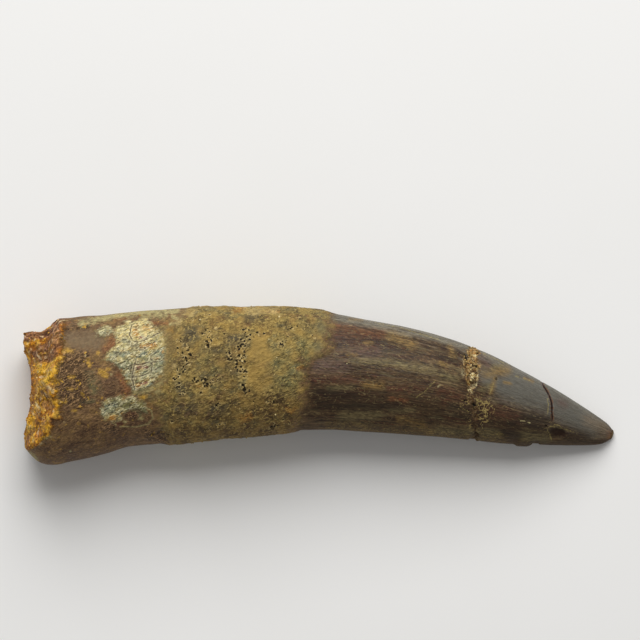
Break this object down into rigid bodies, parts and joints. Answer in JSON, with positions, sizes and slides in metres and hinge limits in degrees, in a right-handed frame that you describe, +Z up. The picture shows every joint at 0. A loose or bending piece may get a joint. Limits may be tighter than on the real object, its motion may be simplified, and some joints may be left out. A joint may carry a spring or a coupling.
{
  "type": "fossil dinosaur tooth",
  "caption": "Long curved conical fossil tooth lying on its side, with a pitted sandy coat round its neck and a broken, sandstone-filled root.",
  "frame": {"origin": "on the surface the tooth lies on, under the middle of its length and of its width", "axes": "+X from the broken root to the tip, +Y toward the convex edge, +Z up from the surface it lies on"},
  "size_m": [0.0759, 0.0204, 0.0152],
  "materials": {
    "fossil_tooth": "brown mineralised tooth, semi-matt crown, dull olive-brown root, khaki sandy crust and ochre sandstone break"
  },
  "bodies": {
    "root": {"fossil_tooth": "fossil_tooth"}
  },
  "joints": []
}
